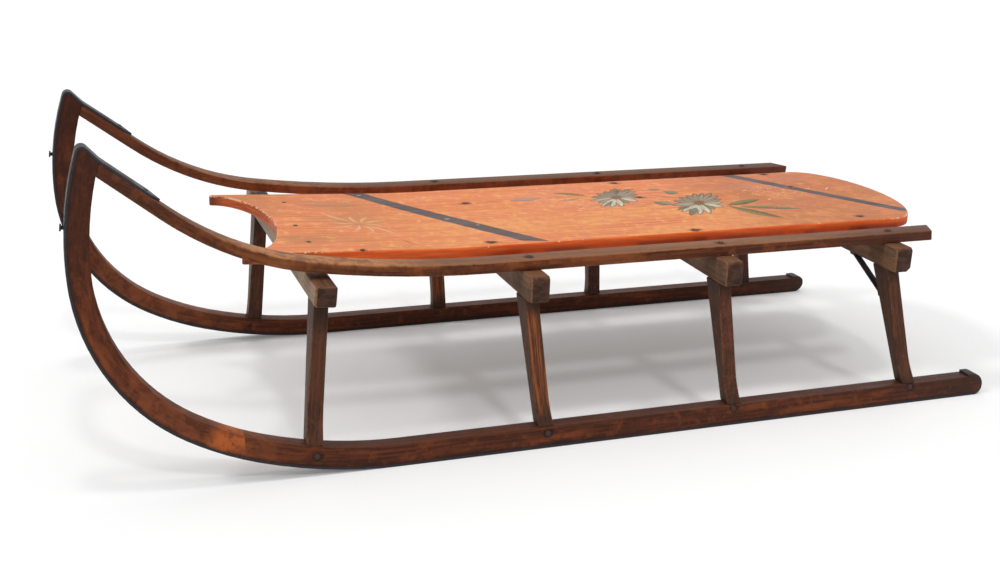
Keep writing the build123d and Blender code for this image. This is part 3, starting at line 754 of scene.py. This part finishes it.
# The CAD's own pieces: each kind's material and the width of its rounded edges
IRON = old_iron("old_iron", srgb(28, 25, 29), srgb(48, 44, 49), srgb(66, 44, 36))
RUSTY_IRON = old_iron("rusty_iron", srgb(46, 30, 24), srgb(74, 48, 36), srgb(96, 58, 38))
FINISHES = {
    "runner": runner_finish(),
    "rail": rail_finish(),
    "post": post_finish(),
    "beam": beam_finish(),
    "deck": deck_paint(),
}
EDGE_WIDTH = {
    "runner": 0.0016,
    "rail": 0.0030,
    "post": 0.0016,
    "beam": 0.0026,
    "shoe": 0.0004,
    "rear": 0.0004,
    "tow": 0.0004,
}
SHARP_ANGLE = radians(32)
BEVEL_ANGLE = radians(40)
SEAM = 0.00001


def smoothing():
    """Node group that joins the shading over the loaded mesh's seams and keeps sharp edges sharp."""
    group = bpy.data.node_groups.new("smoothing", "GeometryNodeTree")
    group.interface.new_socket("Geometry", in_out="INPUT", socket_type="NodeSocketGeometry")
    group.interface.new_socket("Geometry", in_out="OUTPUT", socket_type="NodeSocketGeometry")
    inside = group.nodes.new("NodeGroupInput")
    outside = group.nodes.new("NodeGroupOutput")
    bare = group.nodes.new("GeometryNodeRemoveAttribute")
    bare.inputs["Name"].default_value = "custom_normal"
    faces = group.nodes.new("GeometryNodeSetShadeSmooth")
    faces.domain = "FACE"
    edges = group.nodes.new("GeometryNodeSetShadeSmooth")
    edges.domain = "EDGE"
    edges.inputs["Shade Smooth"].default_value = False
    angle = group.nodes.new("GeometryNodeInputMeshEdgeAngle")
    over = group.nodes.new("FunctionNodeCompare")
    over.inputs["B"].default_value = SHARP_ANGLE
    group.links.new(inside.outputs[0], bare.inputs["Geometry"])
    group.links.new(bare.outputs[0], faces.inputs["Geometry"])
    group.links.new(faces.outputs[0], edges.inputs["Geometry"])
    group.links.new(angle.outputs["Unsigned Angle"], over.inputs["A"])
    group.links.new(over.outputs[0], edges.inputs["Selection"])
    group.links.new(edges.outputs[0], outside.inputs[0])
    return group


SMOOTHING = smoothing()
for name, node in nodes.items():
    kind = name.split("_")[0]
    node.data.materials[0] = FINISHES.get(kind, IRON)
    weld = node.modifiers.new("weld", "WELD")
    weld.merge_threshold = SEAM
    width = EDGE_WIDTH.get(kind)
    if width:
        bevel = node.modifiers.new("rounded_edges", "BEVEL")
        bevel.width = width
        bevel.segments = 3
        bevel.limit_method = "ANGLE"
        bevel.angle_limit = BEVEL_ANGLE
        bevel.use_clamp_overlap = True
    shading = node.modifiers.new("shading", "NODES")
    shading.node_group = SMOOTHING


# Small fasteners: each head's radii and heights from its tip down
NAIL_HEAD = ((0.0006, 0.0005), (0.0014, 0.0004), (0.0022, 0.0002), (0.0026, -0.0001), (0.0024, -0.0006))
STRAP_NAIL_HEAD = ((0.0006, 0.0009), (0.0015, 0.0007), (0.0022, 0.0003), (0.0024, -0.0001),
                   (0.0022, -0.0006))
SCREW_HEAD = ((0.0008, 0.0015), (0.0020, 0.0013), (0.0029, 0.0008), (0.0033, 0.0001), (0.0030, -0.0006))
SCREW_BED = ((0.0005, 0.0004), (0.0028, 0.0003), (0.0031, 0.0), (0.0029, -0.0007))
PIN_HEAD = ((0.0007, 0.0005), (0.0018, 0.0004), (0.0026, 0.0002), (0.0029, -0.0002), (0.0027, -0.0010))
SLOT = 0.0009
HEAD_SIDES = 20
HEAD_SHARP_ANGLE = radians(50)
DOWN = (0, 0, -1)
ABOVE = 0.4

# Each screw is turned its own way, by its place along the rail
SCREW_TURN = 0.7
SCREW_TURN_BY_X = 9.0


def plain_head(profile):
    """A closed turned form."""
    head = bmesh.new()
    angles = [2 * pi * i / HEAD_SIDES for i in range(HEAD_SIDES)]
    rings = []
    for radius, height in profile:
        rings.append([head.verts.new((radius * cos(a), radius * sin(a), height)) for a in angles])
    for upper, lower in zip(rings, rings[1:]):
        for i in range(HEAD_SIDES):
            j = (i + 1) % HEAD_SIDES
            head.faces.new((upper[i], lower[i], lower[j], upper[j]))
    head.faces.new(rings[0])
    head.faces.new(reversed(rings[-1]))
    return head


def slotted_head(profile):
    """A domed screw head: two halves on a thin round bed."""
    head = plain_head(SCREW_BED)
    for side in (1, -1):
        half = plain_head(profile)
        parts = half.verts[:] + half.edges[:] + half.faces[:]
        cut = bmesh.ops.bisect_plane(half, geom=parts, plane_co=(side * SLOT / 2, 0, 0),
                                     plane_no=(side, 0, 0), clear_inner=True)
        rim = [item for item in cut["geom_cut"] if isinstance(item, bmesh.types.BMEdge)]
        bmesh.ops.holes_fill(half, edges=rim)
        add_mesh(head, half, Matrix.Identity(4))
    return head


def add_mesh(whole, part, place):
    """Adds a bmesh, moved to its place, to another."""
    moved = bpy.data.meshes.new("moved")
    part.to_mesh(moved)
    part.free()
    moved.transform(place)
    whole.from_mesh(moved)
    bpy.data.meshes.remove(moved)


def sided(kind, y):
    """The name of the left or right one of a pair."""
    return kind + ("_left" if y > 0 else "_right")


def seat(node, start, toward, turn=0.0):
    """Where a line meets a node's surface, with Z along the surface's normal."""
    _, spot, normal, _ = nodes[node].ray_cast(Vector(start), Vector(toward))
    spin = normal.to_track_quat("Z", "Y").to_matrix().to_4x4()
    return Matrix.Translation(spot) @ spin @ Matrix.Rotation(turn, 4, "Z")


def fasteners(name, head, profile, seats, material):
    """One piece of many alike heads."""
    whole = bmesh.new()
    for place in seats:
        add_mesh(whole, head(profile), place)
    bmesh.ops.recalc_face_normals(whole, faces=whole.faces[:])
    mesh = bpy.data.meshes.new(name)
    whole.to_mesh(mesh)
    whole.free()
    mesh.shade_smooth()
    mesh.set_sharp_from_angle(angle=HEAD_SHARP_ANGLE)
    mesh.materials.append(material)
    piece = bpy.data.objects.new(name, mesh)
    scene.collection.objects.link(piece)
    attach(piece, "root")


nail_seats = [seat("deck", (x, y, ABOVE), DOWN) for x, y, z in NAILS]
screw_seats = [seat(sided("rail", y), (x, y, ABOVE), DOWN, SCREW_TURN + SCREW_TURN_BY_X * x)
               for x, y, z in SCREWS]
pin_seats = [seat(sided("runner", y), (x, 2.0 * y, z), (0, -y, 0)) for x, y, z in PINS]
strap_x, strap_y = STRAP_NAIL
strap_seats = [seat(sided("shoe", y), (strap_x, y, ABOVE), DOWN) for y in (strap_y, -strap_y)]
fasteners("deck_nails", plain_head, NAIL_HEAD, nail_seats, RUSTY_IRON)
fasteners("rail_screws", slotted_head, SCREW_HEAD, screw_seats, RUSTY_IRON)
fasteners("runner_pins", plain_head, PIN_HEAD, pin_seats, RUSTY_IRON)
fasteners("strap_nails", plain_head, STRAP_NAIL_HEAD, strap_seats, IRON)


# Floor, light and camera; the sky brightens between two heights, given by their sines
SKY_LOW = 0.35
SKY_HIGH = 0.90
SKY_LEVEL = 0.95
SKY_EDGE = 0.40
FLOOR_REACH = 14.0
FLOOR_GREY = 0.86
FLOOR_GLOW = 0.12
WHITE = (1.0, 1.0, 1.0, 1.0)

# Each sun's direction, strength and breadth in degrees
SUNS = {
    "front": ((-1.0, 0.0, -1.0), 0.66, 9.0),
    "above": ((0.0, 0.0, -1.0), 0.30, 6.0),
    "near": ((0.0, -0.7, -1.0), 0.37, 6.0),
}

# The camera's place, turns and lens, as solved from the photo
CAMERA_PLACE = (0.4888 + SHIFT, 1.2443, 0.5388)
CAMERA_YAW = radians(20.40)
CAMERA_PITCH = radians(18.30)
CAMERA_ROLL = radians(2.06)
CAMERA_LENS = 46.94
SENSOR = 36.0


def seen_rays(tree):
    """1 for the rays of camera, reflections and glass, 0 for the light that falls on surfaces."""
    path = tree.nodes.new("ShaderNodeLightPath")
    total = path.outputs["Is Camera Ray"]
    for name in ("Is Glossy Ray", "Is Transmission Ray"):
        both = tree.nodes.new("ShaderNodeMath")
        both.operation = "MAXIMUM"
        tree.links.new(total, both.inputs[0])
        tree.links.new(path.outputs[name], both.inputs[1])
        total = both.outputs[0]
    return total


def make_floor():
    """A floor that looks white and gives back a little less light than white would."""
    mesh = bpy.data.meshes.new("floor")
    corners = [(x * FLOOR_REACH, y * FLOOR_REACH, 0) for x, y in ((-1, -1), (1, -1), (1, 1), (-1, 1))]
    mesh.from_pydata(corners, [], [(0, 1, 2, 3)])
    floor = bpy.data.objects.new("floor", mesh)
    scene.collection.objects.link(floor)
    s = Shade("floor")
    seen = seen_rays(s.tree)
    grey = (FLOOR_GREY, FLOOR_GREY, FLOOR_GREY, 1.0)
    s.put(s.bsdf.inputs["Base Color"], s.mix(seen, grey, WHITE))
    s.bsdf.inputs["Roughness"].default_value = 1.0
    s.bsdf.inputs["Specular IOR Level"].default_value = 0.0
    white = s.tree.nodes.new("ShaderNodeEmission")
    mix = s.tree.nodes.new("ShaderNodeMixShader")
    s.put(mix.inputs[0], s.mul(seen, FLOOR_GLOW))
    s.put(mix.inputs[1], s.bsdf.outputs[0])
    s.put(mix.inputs[2], white.outputs[0])
    s.put(s.out.inputs[0], mix.outputs[0])
    mesh.materials.append(s.mat)


def make_world():
    """A soft sky, brighter overhead than at its edge, in front of which the background is white."""
    world = bpy.data.worlds.new("studio")
    scene.world = world
    world.use_nodes = True
    tree = world.node_tree
    tree.nodes.clear()
    coord = tree.nodes.new("ShaderNodeTexCoord")
    split = tree.nodes.new("ShaderNodeSeparateXYZ")
    tree.links.new(coord.outputs["Generated"], split.inputs[0])
    rise = tree.nodes.new("ShaderNodeMapRange")
    rise.interpolation_type = "SMOOTHSTEP"
    tree.links.new(split.outputs[2], rise.inputs["Value"])
    rise.inputs["From Min"].default_value = SKY_LOW
    rise.inputs["From Max"].default_value = SKY_HIGH
    rise.inputs["To Min"].default_value = SKY_LEVEL * SKY_EDGE
    rise.inputs["To Max"].default_value = SKY_LEVEL
    light = tree.nodes.new("ShaderNodeBackground")
    light.inputs[0].default_value = WHITE
    tree.links.new(rise.outputs[0], light.inputs[1])
    white = tree.nodes.new("ShaderNodeBackground")
    white.inputs[0].default_value = WHITE
    white.inputs[1].default_value = 1.0
    mix = tree.nodes.new("ShaderNodeMixShader")
    out = tree.nodes.new("ShaderNodeOutputWorld")
    tree.links.new(seen_rays(tree), mix.inputs[0])
    tree.links.new(light.outputs[0], mix.inputs[1])
    tree.links.new(white.outputs[0], mix.inputs[2])
    tree.links.new(mix.outputs[0], out.inputs[0])


def make_sun(name, toward, strength, spread):
    data = bpy.data.lights.new(name, "SUN")
    data.energy = strength
    data.angle = radians(spread)
    lamp = bpy.data.objects.new(name, data)
    lamp.rotation_euler = Vector(toward).to_track_quat("-Z", "Y").to_euler()
    scene.collection.objects.link(lamp)


def make_camera():
    """The camera at the photo's angle."""
    level = cos(CAMERA_PITCH)
    ahead = Vector((-sin(CAMERA_YAW) * level, -cos(CAMERA_YAW) * level, -sin(CAMERA_PITCH)))
    level_right = ahead.cross(Vector((0, 0, 1))).normalized()
    level_up = level_right.cross(ahead)
    right = level_right * cos(CAMERA_ROLL) + level_up * sin(CAMERA_ROLL)
    up = level_up * cos(CAMERA_ROLL) - level_right * sin(CAMERA_ROLL)
    turn = Matrix((right, up, -ahead)).transposed()
    data = bpy.data.cameras.new("camera")
    data.sensor_width = SENSOR
    data.lens = CAMERA_LENS
    data.clip_start = 0.01
    camera = bpy.data.objects.new("camera", data)
    camera.matrix_world = Matrix.Translation(CAMERA_PLACE) @ turn.to_4x4()
    scene.collection.objects.link(camera)
    scene.camera = camera


make_floor()
make_world()
for name, (toward, strength, spread) in SUNS.items():
    make_sun(name, toward, strength, spread)
make_camera()
scene.view_settings.view_transform = "Standard"
